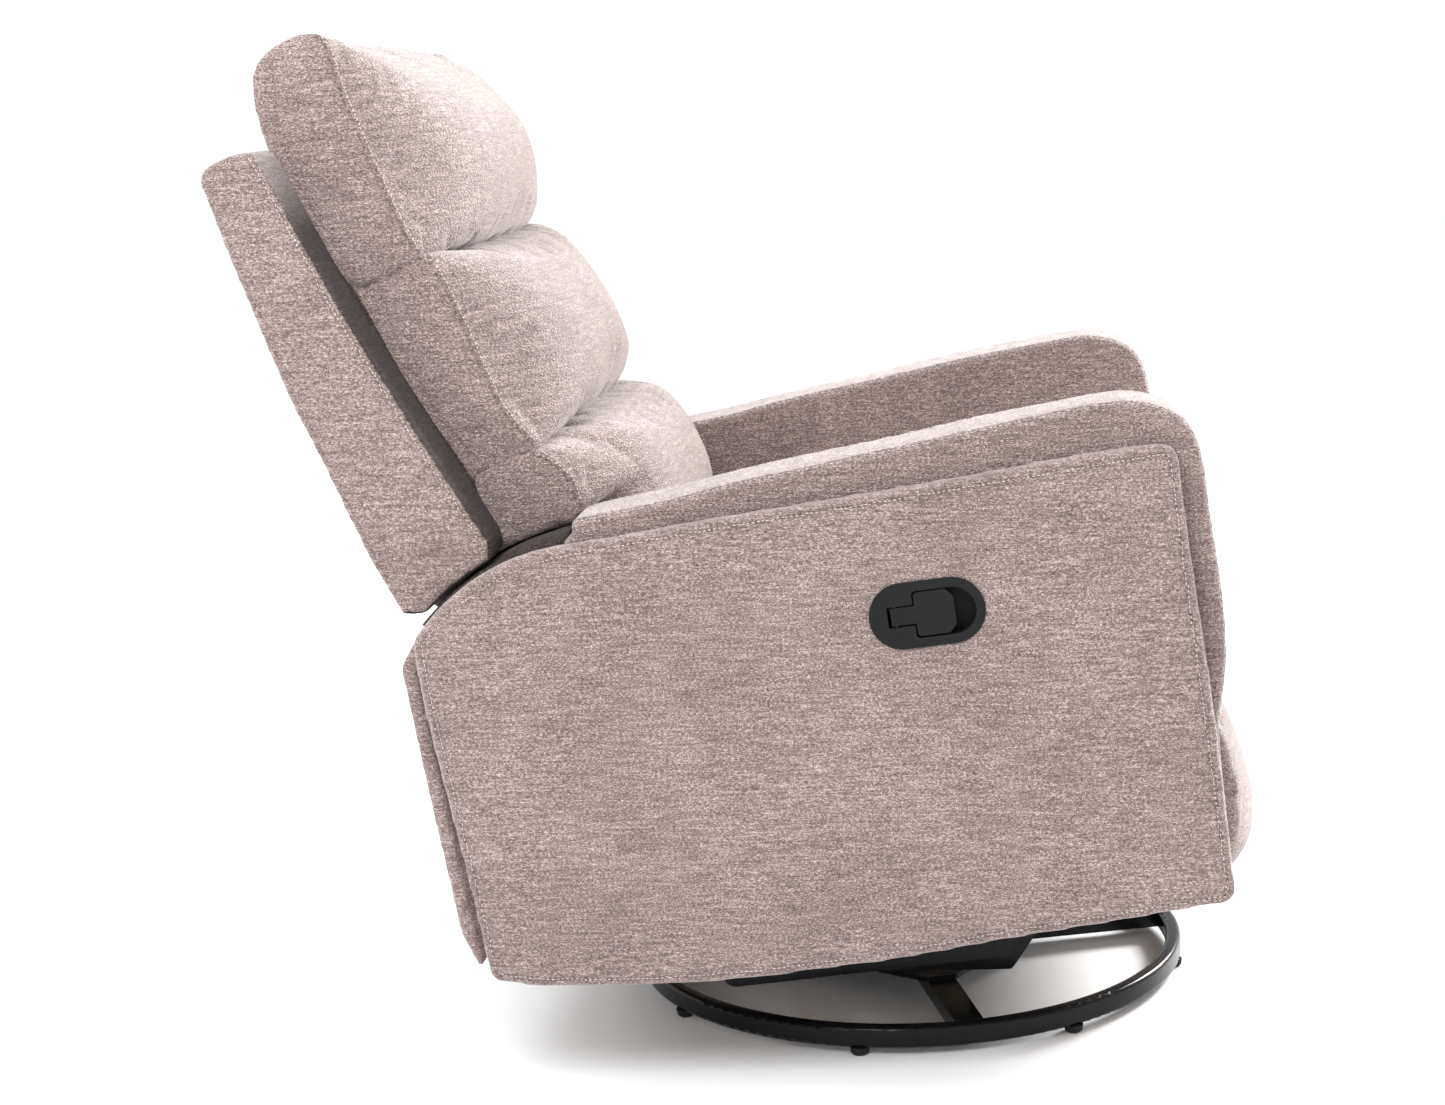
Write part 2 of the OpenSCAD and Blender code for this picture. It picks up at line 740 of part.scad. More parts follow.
module lower_back_cushion() {
  difference() {
    cushion(middle_half_w, [
      [166, 484, 20], [151, 560, 60], [194, 668, 26], [226, 666, 4], [338, 641, 4], [332, 621, 0],
      [314, 576, 4], [298, 552, 10], [292, 484, 16]
    ]);
    // Between the arms it is narrower; its ends reach out behind and above them
    rocked() both_sides(seat_half_w - 3, middle_half_w + 1)
      polygon([[100, 470], [340, 470], [340, 571], [299, 571], [299, 603], [100, 603]]);
    rocked() plate_slots();
  }
}

// ---- Footrest ----

module footrest_front_links() {
  color(STEEL) rocked() both_sides(layer_outer, layer_outer + strap_t)
    drilled_strap(f1, f3, 20, rivet_r + run_gap, rivet_r + run_gap);
}

module footrest_rear_links() {
  color(STEEL) rocked() both_sides(layer_inner, layer_inner + strap_t) difference() {
    union() {
      strap(f2, f4, 20);
      strap(f2 + swing * 0.55, f5, 18);
    }
    for (p = [f2, f4, f5]) translate(p) circle(r = rivet_r + run_gap);
  }
}

// Tube that ties the two rear links, with the latch cam on its right-hand end
module footrest_torque_tube() {
  tube = 9;
  color(BLACK) rocked() difference() {
    union() {
      bar_x(f2, tube, -layer_inner, layer_inner);
      slab_x(-latch_x - latch_t, -latch_x) intersection() {
        translate(f2) circle(r = cam_r);
        translate(f2) polygon([[0, -tube], [40, -16], [40, 12], [0, tube]]);
      }
    }
    bar_x(f2, tube - 3, -layer_inner - 1, layer_inner + 1);
  }
}

module footrest_carrier_links() {
  color(STEEL) rocked() both_sides(layer_middle, layer_middle + strap_t) difference() {
    union() {
      strap(f4, f6, 17);
      strap(f4, f3, 17);
    }
    for (p = [f3, f4, f6]) translate(p) circle(r = rivet_r);
  }
}

module carrier_rivets() {
  color(STEEL) rocked() {
    rivet_pair(f3, rivet_r, layer_middle, layer_outer + strap_t, 8, head_t);
    rivet_pair(f4, rivet_r, layer_inner, layer_middle + strap_t, 8, head_t);
    rivet_pair(f6, rivet_r, layer_middle, layer_outer + strap_t, 8, head_t);
  }
}

module footrest_steer_links() {
  color(STEEL) rocked() both_sides(layer_middle, layer_middle + strap_t)
    drilled_strap(f5, f7, 17, rivet_r, rivet_r);
}

module steer_rivets() {
  color(STEEL) rocked() {
    rivet_pair(f5, rivet_r, layer_inner, layer_middle + strap_t, 8, head_t);
    rivet_pair(f7, rivet_r, layer_middle, layer_outer + strap_t, 8, head_t);
  }
}

module mechanism_rivets() {
  color(STEEL) rocked() {
    rivet_pair(f1, rivet_r, layer_middle, layer_outer + strap_t, 8, head_t);
    for (s = [0, 1]) mirror([s, 0, 0]) {
      bar_x(f2, rivet_r, layer_inner, layer_middle + strap_t);
      bar_x(f2, 8, layer_middle + strap_t, layer_middle + strap_t + head_t);
    }
    bar_x(latch_at, rivet_r, -layer_middle - strap_t, 2 - latch_x);
    bar_x(latch_at, 8, 0.2 - latch_x, 2 - latch_x);
  }
}

board_back = -308;
board_t = 12;

module footrest_brackets() {
  color(STEEL) rocked() {
    both_sides(layer_outer, layer_outer + strap_t) difference() {
      polygon(rounded([[board_back, 190, 0], [-280, 200, 10], [-280, 278, 10], [board_back, 288, 0]]));
      for (p = [f6, f7]) translate(p) circle(r = rivet_r + run_gap);
    }
    both_sides(layer_outer, layer_outer + 24) polygon([[board_back, 190], [board_back + 3, 190], [board_back + 3, 288], [board_back, 288]]);
  }
}

module footrest_board() {
  color(WOOD) rocked() slab_x(-pad_half_w + 7, pad_half_w - 7)
    polygon([[board_back - board_t, 136], [board_back, 136], [board_back, 302], [board_back - board_t, 302]]);
}

module footrest_pad() {
  face = board_back - board_t;
  color(FABRIC) rocked() slab_x(-pad_half_w, pad_half_w) polygon(rounded([
    [face, 308, 4], [-350, 312, 16], [-378, 262, 70], [-386, 176, 60], [-362, 126, 22], [face, 128, 4]
  ]));
}

base_ring();
base_spokes();
hub_plate();
floor_glides();
lower_race();
hub_bolts();
upper_race();
bearing_balls();
swivel_pin();
carriage_frame();
carriage_side_left();
carriage_side_right();
carriage_bolts();
glide_bumpers();
upper_pivot_pins();
rear_glide_links();
rear_link_bushings();
front_glide_links();
front_link_bushings();
seat_rail_left();
seat_rail_right();
mechanism_plate_left();
mechanism_plate_right();
cross_tubes();
lower_pivot_pins();
deck_frame();
seat_springs();
seat_cushion();
arm_frame_left();
arm_frame_right();
arm_pad_left();
arm_pad_right();
side_panel_left();
side_panel_right();
rear_panel();
handle_bezel();
paddle_pin();
release_cable();
recline_pins();
mechanism_rivets();
handle_paddle();
latch_pawl();
back_frame();
back_webbing();
back_slab();
headrest_cushion();
middle_cushion();
lower_back_cushion();
recline_plates();
footrest_front_links();
footrest_rear_links();
footrest_torque_tube();
footrest_carrier_links();
carrier_rivets();
footrest_steer_links();
steer_rivets();
footrest_brackets();
footrest_board();
footrest_pad();
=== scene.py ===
"""Upholstered glider nursery chair: the visual model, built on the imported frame."""
import json
import math

import bmesh
import bpy
import numpy as np
from mathutils import Matrix, Vector
from mathutils.bvhtree import BVHTree
from mathutils.kdtree import KDTree

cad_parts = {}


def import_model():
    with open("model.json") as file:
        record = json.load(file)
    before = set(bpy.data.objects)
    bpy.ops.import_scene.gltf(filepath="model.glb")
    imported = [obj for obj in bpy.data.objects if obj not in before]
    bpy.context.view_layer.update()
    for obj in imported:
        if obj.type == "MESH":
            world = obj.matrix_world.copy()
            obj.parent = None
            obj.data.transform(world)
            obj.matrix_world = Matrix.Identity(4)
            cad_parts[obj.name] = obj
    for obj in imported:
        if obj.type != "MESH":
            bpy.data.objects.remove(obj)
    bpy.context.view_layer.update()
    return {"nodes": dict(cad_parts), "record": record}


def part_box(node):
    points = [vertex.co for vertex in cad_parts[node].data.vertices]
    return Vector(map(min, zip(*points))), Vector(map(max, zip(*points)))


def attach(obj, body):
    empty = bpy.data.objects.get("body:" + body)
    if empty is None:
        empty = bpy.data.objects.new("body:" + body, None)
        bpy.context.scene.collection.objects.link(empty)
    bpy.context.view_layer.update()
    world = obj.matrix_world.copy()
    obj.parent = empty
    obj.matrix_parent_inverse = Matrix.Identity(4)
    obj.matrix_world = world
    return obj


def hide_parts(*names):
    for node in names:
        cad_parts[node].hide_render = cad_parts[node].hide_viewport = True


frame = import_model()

# ---- Frame ----

MM = 0.001
TILT = math.radians(5.6)
ROLL_MATRIX = np.array([
    [1, 0, 0],
    [0, math.cos(TILT), math.sin(TILT)],
    [0, -math.sin(TILT), math.cos(TILT)],
])


def world(points):
    """Level-seat millimetres to the stored pose, in metres."""
    return np.asarray(points, float) @ ROLL_MATRIX.T * MM


def level(points):
    """The reverse of world()."""
    return np.asarray(points, float) @ ROLL_MATRIX / MM


def corners(node):
    low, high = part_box(node)
    return np.array(low) / MM, np.array(high) / MM


PANEL_LOW, PANEL_HIGH = corners("side_panel_left")
PANEL_OUT = PANEL_HIGH[0]
PANEL_IN = PANEL_LOW[0]
ARM_IN = corners("arm_pad_left")[0][0]
SLAB_HALF = corners("back_slab")[1][0]
HEAD_HALF = corners("headrest_cushion")[1][0]
MIDDLE_HALF = corners("middle_cushion")[1][0]
LOWER_HALF = corners("lower_back_cushion")[1][0]
SEAT_HALF = corners("seat_cushion")[1][0]
PAD_HALF = corners("footrest_pad")[1][0]
REAR_HALF = corners("rear_panel")[1][0]
RECLINE_AXIS = (230, 335)
SHOULDER_R = 239

# ---- Materials ----


class Nodes:
    """Short calls for building one node tree."""

    def __init__(self, name):
        self.material = bpy.data.materials.new(name)
        self.material.use_nodes = True
        self.tree = self.material.node_tree
        self.shader = self.tree.nodes["Principled BSDF"]
        coordinates = self.tree.nodes.new("ShaderNodeTexCoord")
        self.object = coordinates.outputs["Object"]

    def link(self, a, b):
        self.tree.links.new(a, b)

    def stretched(self, scale):
        node = self.tree.nodes.new("ShaderNodeMapping")
        node.inputs["Scale"].default_value = scale
        self.link(self.object, node.inputs["Vector"])
        return node.outputs["Vector"]

    def noise(self, scale, detail=2.0, rough=0.5, vector=None, distortion=0.0):
        node = self.tree.nodes.new("ShaderNodeTexNoise")
        node.inputs["Scale"].default_value = scale
        node.inputs["Detail"].default_value = detail
        node.inputs["Roughness"].default_value = rough
        node.inputs["Distortion"].default_value = distortion
        self.link(vector or self.object, node.inputs["Vector"])
        return node.outputs["Fac"]

    def cells(self, scale, vector=None, randomness=1.0):
        node = self.tree.nodes.new("ShaderNodeTexVoronoi")
        node.inputs["Scale"].default_value = scale
        node.inputs["Randomness"].default_value = randomness
        self.link(vector or self.object, node.inputs["Vector"])
        return node.outputs["Distance"]

    def wave(self, scale, direction, distortion=0.0, vector=None):
        node = self.tree.nodes.new("ShaderNodeTexWave")
        node.bands_direction = direction
        node.inputs["Scale"].default_value = scale
        node.inputs["Distortion"].default_value = distortion
        self.link(vector or self.object, node.inputs["Vector"])
        return node.outputs["Fac"]

    def attribute(self, name):
        node = self.tree.nodes.new("ShaderNodeAttribute")
        node.attribute_name = name
        return node.outputs["Fac"]

    def math(self, operation, a, b=0.0, clamp=False):
        node = self.tree.nodes.new("ShaderNodeMath")
        node.operation = operation
        node.use_clamp = clamp
        for socket, value in zip(node.inputs, (a, b)):
            if isinstance(value, (int, float)):
                socket.default_value = value
            else:
                self.link(value, socket)
        return node.outputs["Value"]

    def spread(self, value, low, high, to_low, to_high):
        node = self.tree.nodes.new("ShaderNodeMapRange")
        for name, number in (("From Min", low), ("From Max", high), ("To Min", to_low), ("To Max", to_high)):
            node.inputs[name].default_value = number
        self.link(value, node.inputs["Value"])
        return node.outputs["Result"]

    def ramp(self, value, stops):
        node = self.tree.nodes.new("ShaderNodeValToRGB")
        elements = node.color_ramp.elements
        while len(elements) < len(stops):
            elements.new(0.5)
        for element, (at, colour) in zip(elements, stops):
            element.position = at
            element.color = (*colour, 1)
        self.link(value, node.inputs["Fac"])
        return node.outputs["Color"]

    def dimmed(self, colour, value):
        node = self.tree.nodes.new("ShaderNodeHueSaturation")
        self.link(colour, node.inputs["Color"])
        self.link(value, node.inputs["Value"])
        return node.outputs["Color"]

    def bump(self, height, strength, distance, normal=None):
        node = self.tree.nodes.new("ShaderNodeBump")
        node.inputs["Strength"].default_value = strength
        node.inputs["Distance"].default_value = distance
        self.link(height, node.inputs["Height"])
        if normal:
            self.link(normal, node.inputs["Normal"])
        return node.outputs["Normal"]

    def set(self, **values):
        for name, value in values.items():
            socket = self.shader.inputs[name.replace("_", " ")]
            if isinstance(value, bpy.types.NodeSocket):
                self.link(value, socket)
            else:
                socket.default_value = value


def chenille(name, dark, middle, light, sheen=0.35):
    """Heathered pile: short horizontal slubs, pale flecks, and soft patches where the nap lies differently.
    Painted shade: the seam attribute, where a piece has one, darkens the bottom of its seams; the shade
    attribute darkens a face in a deep gap and takes away its sheen."""
    n = Nodes(name)
    slubs = n.noise(640, 2, 0.65, n.stretched((0.55, 0.55, 1.3)))
    flecks = n.noise(1000, 2, 0.7)
    streaks = n.noise(170, 3, 0.65, n.stretched((0.2, 0.2, 2.4)))
    loops = n.cells(460, n.stretched((0.8, 0.8, 1.25)))
    nap = n.noise(9, 4, 0.6, distortion=0.6)
    parts = ((slubs, 0.38), (flecks, 0.38), (streaks, 0.18), (nap, 0.06))
    mix = 0.0
    for value, share in parts:
        mix = n.math("ADD", mix, n.math("MULTIPLY", value, share))
    # Painted shade: seam darkens the seam grooves, shade darkens faces in deep gaps.
    seam = n.math("MULTIPLY", n.attribute("seam"), 0.4)
    toned = n.math("SUBTRACT", n.spread(mix, 0.385, 0.615, 0, 1), seam)
    colour = n.ramp(toned, [(0.05, dark), (0.5, middle), (0.95, light)])
    lit = n.math("SUBTRACT", 1.0, n.attribute("shade"))
    height = n.math("ADD", n.math("MULTIPLY", slubs, 0.7), n.math("MULTIPLY", loops, 0.9))
    soft = n.bump(nap, 0.25, 0.004)
    n.set(
        Base_Color=n.dimmed(colour, lit),
        Roughness=n.spread(flecks, 0.3, 0.7, 0.82, 0.97),
        Normal=n.bump(height, 0.7, 0.0016, soft),
        Sheen_Weight=n.math("MULTIPLY", lit, sheen),
        Sheen_Roughness=0.5,
        Sheen_Tint=(1.0, 0.97, 0.96, 1),
        Specular_IOR_Level=n.math("MULTIPLY", lit, 0.18),
    )
    return n.material


def coated(
    name, dark, light, rough, spread=0.08,
    metal=0.0, grain=900.0, bump=0.15, coat=0.0, depth=0.0002, gloss=0.5,
):
    """Paint, plastic, rubber or plated steel: a slightly uneven colour and gloss over a fine grain."""
    n = Nodes(name)
    broad = n.noise(14, 3)
    fine = n.noise(grain, 2, 0.6)
    mix = n.math("ADD", n.math("MULTIPLY", broad, 0.6), n.math("MULTIPLY", fine, 0.4))
    n.set(
        Base_Color=n.ramp(mix, [(0.3, dark), (0.7, light)]),
        Roughness=n.spread(mix, 0.3, 0.7, rough - spread, rough + spread),
        Normal=n.bump(fine, bump, depth),
        Metallic=metal,
        Coat_Weight=coat,
        Coat_Roughness=0.12,
        Specular_IOR_Level=gloss,
    )
    return n.material


def timber(name):
    """Raw ply: faint figure along Y and Z."""
    n = Nodes(name)
    figure = n.wave(9, "X", 9.0, n.stretched((6, 0.8, 1)))
    pores = n.noise(60, 3, 0.6, n.stretched((6, 0.6, 3)))
    mix = n.math("ADD", n.math("MULTIPLY", figure, 0.45), n.math("MULTIPLY", pores, 0.55))
    n.set(
        Base_Color=n.ramp(mix, [
            (0.25, (0.34, 0.22, 0.12)),
            (0.55, (0.52, 0.37, 0.22)),
            (0.85, (0.63, 0.48, 0.31)),
        ]),
        Roughness=n.spread(pores, 0.3, 0.7, 0.55, 0.75),
        Normal=n.bump(mix, 0.3, 0.0005),
    )
    return n.material


def strapping(name):
    """Woven elastic webbing with ribs across it."""
    n = Nodes(name)
    ribs = n.wave(420, "X")
    rows = n.wave(420, "Z")
    mix = n.math("MULTIPLY", ribs, rows)
    fuzz = n.noise(300, 2)
    tone = n.math("ADD", mix, n.math("MULTIPLY", fuzz, 0.5))
    n.set(
        Base_Color=n.ramp(tone, [(0.1, (0.012, 0.012, 0.014)), (0.9, (0.07, 0.07, 0.078))]),
        Roughness=n.spread(fuzz, 0.3, 0.7, 0.8, 0.95),
        Normal=n.bump(mix, 0.5, 0.0006),
    )
    return n.material


FABRIC = chenille("fabric", (0.072, 0.052, 0.046), (0.200, 0.147, 0.134), (0.535, 0.436, 0.408), 0.45)
THREAD = chenille("thread", (0.42, 0.36, 0.33), (0.56, 0.49, 0.46), (0.70, 0.64, 0.61), 0.3)
SLOTS = {
    "upholstery": FABRIC,
    "black_steel": coated(
        "black_steel", (0.003, 0.003, 0.0035), (0.006, 0.006, 0.0065), 0.24, 0.05,
        coat=0.06, bump=0.06, gloss=0.14,
    ),
    "zinc_steel": coated(
        "zinc_steel", (0.36, 0.36, 0.37), (0.52, 0.52, 0.53), 0.34, 0.08, metal=1.0, grain=240, bump=0.1,
    ),
    "rubber": coated(
        "rubber", (0.008, 0.008, 0.008), (0.016, 0.016, 0.016), 0.72, 0.08, bump=0.3, gloss=0.25,
    ),
    "nylon": coated("nylon", (0.62, 0.62, 0.59), (0.74, 0.74, 0.71), 0.42, 0.06),
    "black_plastic": coated(
        "black_plastic", (0.006, 0.006, 0.0065), (0.010, 0.010, 0.011), 0.45, 0.07,
        grain=1600, bump=0.35, depth=0.0003, gloss=0.16,
    ),
    "plywood": timber("plywood"),
    "webbing": strapping("webbing"),
}

# ---- Mesh helpers ----


def new_object(name, vertices, faces):
    mesh = bpy.data.meshes.new(name)
    mesh.from_pydata([tuple(v) for v in vertices], [], [tuple(f) for f in faces])
    mesh.update()
    thing = bpy.data.objects.new(name, mesh)
    bpy.context.scene.collection.objects.link(thing)
    return thing


def spline(a, b, c, d, count=8):
    """Points from b almost to c on the smooth curve through a, b, c and d."""
    rows = []
    for k in range(count):
        t = k / count
        bend = (2 * a - 5 * b + 4 * c - d) * t**2 + (3 * b - a - 3 * c + d) * t**3
        rows.append(0.5 * (2 * b + (c - a) * t + bend))
    return rows


def outline(points):
    """A smooth closed curve through the points."""
    p = np.array(points, float)
    rows = []
    for i in range(len(p)):
        rows += spline(p[i - 1], p[i], p[(i + 1) % len(p)], p[(i + 2) % len(p)])
    return np.array(rows)


def along(points, step):
    """Points at even steps along an open line."""
    p = np.array(points, float)
    run = np.concatenate([[0], np.cumsum(np.linalg.norm(np.diff(p, axis=0), axis=1))])
    at = np.linspace(0, run[-1], max(2, int(round(run[-1] / step)) + 1))
    return np.column_stack([np.interp(at, run, p[:, k]) for k in range(p.shape[1])])


def curved(points, step=6.0):
    """A smooth open line through the points, at even steps."""
    p = np.array(points, float)
    p = np.vstack([2 * p[0] - p[1], p, 2 * p[-1] - p[-2]])
    rows = []
    for i in range(1, len(p) - 2):
        rows += spline(*p[i - 1:i + 3])
    rows.append(p[-2])
    return along(rows, step)


def loft(name, rings):
    """A closed mesh through rings of (x, y, z), each with the same number of points."""
    count = len(rings[0])
    vertices = [v for ring in rings for v in ring]
    faces = []
    for r in range(len(rings) - 1):
        for k in range(count):
            a, b = r * count + k, r * count + (k + 1) % count
            faces.append((a, b, b + count, a + count))
    for base, flip in ((0, True), ((len(rings) - 1) * count, False)):
        middle = len(vertices)
        vertices.append(np.mean(vertices[base:base + count], axis=0))
        for k in range(count):
            a, b = base + k, base + (k + 1) % count
            faces.append((b, a, middle) if flip else (a, b, middle))
    thing = new_object(name, world(vertices), faces)
    mesh = bmesh.new()
    mesh.from_mesh(thing.data)
    bmesh.ops.recalc_face_normals(mesh, faces=mesh.faces)
    mesh.to_mesh(thing.data)
    mesh.free()
    return thing


def ring(x, points):
    return np.column_stack([np.full(len(points), float(x)), points])


def prism(name, points, x0, x1):
    return loft(name, [ring(x0, points), ring(x1, points)])


def pillow(name, x0, x1, centre, side, power=5.0, bulge=8.0, steps=26):
    """A crowned cushion across X: its section goes from side at the ends to centre in the middle.
    The power, one number or one for each point, says how close to the ends that happens."""
    middle, half = (x0 + x1) / 2, (x1 - x0) / 2
    core = side.mean(axis=0)
    ends = [ring(half + bulge * (1 - s * s), core + (side - core) * s) for s in (0.25, 0.5, 0.75, 0.93)]
    body = []
    for k in range(steps + 1):
        u = math.sin(math.pi / 2 * (k / steps * 2 - 1))
        blend = np.broadcast_to(abs(u) ** power, len(side))[:, None]
        body.append(ring(u * half, centre * (1 - blend) + side * blend))
    mirrored = [np.column_stack([-e[:, 0], e[:, 1:]]) for e in ends]
    rings = mirrored + body + ends[::-1]
    return loft(name, [r + np.array([middle, 0, 0]) for r in rings])


def bake(thing):
    """Applies the modifiers of thing."""
    graph = bpy.context.evaluated_depsgraph_get()
    graph.update()
    mesh = bpy.data.meshes.new_from_object(thing.evaluated_get(graph))
    thing.modifiers.clear()
    old, thing.data = thing.data, mesh
    mesh.name = thing.name
    bpy.data.meshes.remove(old)
    return thing


def modifier(thing, kind, **settings):
    added = thing.modifiers.new(kind.lower(), kind)
    for name, value in settings.items():
        setattr(added, name, value)
    return added


def remeshed(thing, voxel, smooth=0):
    modifier(thing, "REMESH", mode="VOXEL", voxel_size=voxel * MM)
    if smooth:
        modifier(thing, "SMOOTH", factor=0.5, iterations=smooth)
    return bake(thing)


def joined(name, things):
    """One object of several, their meshes put together."""
    mesh = bmesh.new()
    for thing in things:
        mesh.from_mesh(thing.data)
    first = things[0]
    mesh.to_mesh(first.data)
    mesh.free()
    for thing in things[1:]:
        old = thing.data
        bpy.data.objects.remove(thing)
        bpy.data.meshes.remove(old)
    first.name = first.data.name = name
    return first


def cut(thing, cutter):
    modifier(thing, "BOOLEAN", operation="DIFFERENCE", solver="EXACT", object=cutter)
    bake(thing)
    old = cutter.data
    bpy.data.objects.remove(cutter)
    bpy.data.meshes.remove(old)
    return thing


def coordinates(thing):
    flat = np.empty(len(thing.data.vertices) * 3)
    thing.data.vertices.foreach_get("co", flat)
    return flat.reshape(-1, 3)


def normals(thing):
    flat = np.empty(len(thing.data.vertices) * 3)
    thing.data.vertices.foreach_get("normal", flat)
    return flat.reshape(-1, 3)


def place(thing, points):
    thing.data.vertices.foreach_set("co", np.asarray(points, float).ravel())
    thing.data.update()


def smoothstep(value, low, high):
    t = np.clip((value - low) / (high - low), 0, 1)
    return t * t * (3 - 2 * t)


def nearest(points, line):
    """For each point, its distance to the line's points and how far along the line that is, in metres."""
    tree = KDTree(len(line))
    for i, p in enumerate(line):
        tree.insert(Vector(p), i)
    tree.balance()
    run = np.concatenate([[0], np.cumsum(np.linalg.norm(np.diff(line, axis=0), axis=1))])
    away = np.empty(len(points))
    place_on = np.empty(len(points))
    for i, p in enumerate(points):
        _, index, distance = tree.find(Vector(p))
        away[i] = distance
        place_on[i] = run[index]
    return away, place_on


def undulation(points, size, amount, seed=0):
    """Slow unevenness: a sum of a few plane waves of about that size, in metres."""
    source = np.random.default_rng(seed)
    total = np.zeros(len(points))
    for _ in range(7):
        direction = source.normal(size=3)
        direction /= np.linalg.norm(direction)
        wave = 2 * math.pi / (size * source.uniform(0.7, 1.5))
        total += np.sin(points @ direction * wave + source.uniform(0, 6.3))
    return total * amount / 3.0


def uneven(thing, size=0.16, amount=0.0010, seed=0):
    points = coordinates(thing)
    place(thing, points + normals(thing) * undulation(points, size, amount, seed)[:, None])


def snapped(thing, line, lift=0.0):
    """The line laid on the surface of thing, raised by lift metres, with its normals."""
    graph = bpy.context.evaluated_depsgraph_get()
    graph.update()
    tree = BVHTree.FromObject(thing, graph)
    rows, ups = [], []
    for p in line:
        at, normal, _, _ = tree.find_nearest(Vector(p))
        rows.append(at + normal * lift)
        ups.append(normal)
    return np.array(rows), np.array(ups)


def groove(
    thing, line, depth=2.0, width=3.0, ridge=0.0, ridge_at=4.0, pucker=0.0, reach=26.0, pitch=19.0, seed=0,
):
    """Presses a seam into thing along a line, with a soft ridge beside it and puckers running off it, and
    paints shade along its bottom.
    """
    laid, _ = snapped(thing, line)
    points = coordinates(thing)
    low, high = laid.min(axis=0) - 0.06, laid.max(axis=0) + 0.06
    near = np.where(((points > low) & (points < high)).all(axis=1))[0]
    away, run = nearest(points[near], laid)
    away, run = away / MM, run / MM
    move = -depth * np.exp(-(away / width) ** 2)
    move += ridge * np.exp(-((away - ridge_at) / (width * 0.9)) ** 2)
    if pucker:
        source = np.random.default_rng(seed)
        phase = source.uniform(0, 6.3, 4)
        wave = np.sin(2 * math.pi * run / pitch + phase[0] + 1.7 * np.sin(run / (pitch * 1.9) + phase[1]))
        wave *= 0.6 + 0.4 * np.sin(run / (pitch * 2.7) + phase[2])
        move += pucker * wave * np.exp(-(away / reach) ** 2) * (1 - np.exp(-(away / 5) ** 2))
    points[near] += normals(thing)[near] * (move * MM)[:, None]
    place(thing, points)
    # Painted shade: the seam attribute darkens the fabric along the bottom of the groove.
    painted_shade = thing.data.attributes.get("seam") or thing.data.attributes.new("seam", "FLOAT", "POINT")
    values = np.empty(len(points))
    painted_shade.data.foreach_get("value", values)
    values[near] = np.maximum(values[near], np.exp(-(away / (width * 0.8)) ** 2) * min(1.0, depth / 2.4))
    painted_shade.data.foreach_set("value", values)
    return laid


def stitches(name, thing, lines, pitch=4.6, length=3.0, radius=0.55):
    """Rows of thread dashes lying on thing."""
    vertices, faces = [], []
    for line in lines:
        laid, ups = snapped(thing, along(line, pitch * MM), 0.00015)
        ahead = np.gradient(laid, axis=0)
        ahead /= np.maximum(np.linalg.norm(ahead, axis=1), 1e-9)[:, None]
        for at, way, up in zip(laid, ahead, ups):
            side = np.cross(way, up)
            base = len(vertices)
            half = way * length * MM / 2
            for end, fat in ((-1.0, 0.35), (-0.6, 1.0), (0.6, 1.0), (1.0, 0.35)):
                for k in range(5):
                    a = 2 * math.pi * k / 5
                    r = radius * MM * fat
                    vertices.append(at + half * end + side * math.cos(a) * r + up * (math.sin(a) * r * 0.8))
            for i in range(3):
                for k in range(5):
                    a, b = base + i * 5 + k, base + i * 5 + (k + 1) % 5
                    faces.append((a, a + 5, b + 5, b))
            faces.append(tuple(base + k for k in range(5)))
            faces.append(tuple(base + 15 + k for k in range(4, -1, -1)))
    thread = new_object(name, vertices, faces)
    dress(thread, THREAD)
    return thread


def dress(thing, material):
    thing.data.materials.clear()
    thing.data.materials.append(material)
    for polygon in thing.data.polygons:
        polygon.use_smooth = True


def settle(thing, body, *nodes, fill=0.75):
    """Gives a padded piece its fabric and its body, and hides the CAD solids that it stands for."""
    dress(thing, FABRIC)
    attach(thing, body)
    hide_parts(*nodes)


# ---- Cushion outlines, level millimetres (y rearward, z up) ----

HEAD_SIDE = outline([
    (353, 864), (374, 930), (397, 1018), (404, 1066), (414, 1082), (436, 1083), (468, 1072), (487, 1048),
    (488, 1010), (481, 975), (470, 930), (451, 882), (434, 846), (412, 838), (378, 846),
])
HEAD_CENTRE = outline([
    (312, 862), (298, 915), (302, 964), (325, 1000), (357, 1033), (390, 1064), (425, 1079), (456, 1065),
    (474, 1030), (474, 985), (462, 940), (444, 895), (428, 862), (405, 850), (350, 853),
])
MIDDLE_SIDE = outline([
    (269, 658), (298, 708), (323, 797), (340, 850), (356, 861), (384, 853), (412, 841), (421, 824),
    (406, 757), (384, 699), (364, 656), (347, 638), (306, 645),
])
MIDDLE_CENTRE = outline([
    (240, 676), (224, 708), (238, 768), (270, 826), (304, 856), (350, 853), (402, 843), (414, 822),
    (402, 757), (380, 699), (360, 660), (342, 646), (290, 656),
])
LOWER_SIDE = outline([
    (256, 488), (243, 540), (250, 592), (264, 645), (281, 658), (308, 650), (334, 641), (341, 624),
    (328, 592), (298, 566), (292, 532), (287, 500), (274, 487),
])
LOWER_CENTRE = outline([
    (172, 488), (155, 548), (170, 612), (198, 654), (230, 668), (276, 659), (322, 645), (330, 624),
    (318, 590), (296, 564), (290, 530), (284, 500), (226, 487),
])
WING_SIDE = outline([
    (236, 600), (240, 622), (256, 643), (274, 656), (308, 650), (334, 641), (343, 624), (341, 592),
    (336, 562), (316, 565), (290, 572), (264, 578), (244, 582),
])
WING_CENTRE = outline([
    (176, 606), (186, 634), (204, 656), (236, 667), (284, 656), (322, 645), (334, 624), (335, 592),
    (330, 565), (314, 567), (290, 573), (258, 580), (232, 598),
])
SEAT_SIDE = outline([
    (-330, 330), (-333, 380), (-330, 425), (-312, 447), (-270, 455), (-60, 454), (120, 453), (190, 450),
    (206, 436), (208, 400), (204, 362), (190, 357), (60, 357), (-120, 357), (-290, 357), (-302, 348),
    (-312, 327),
])
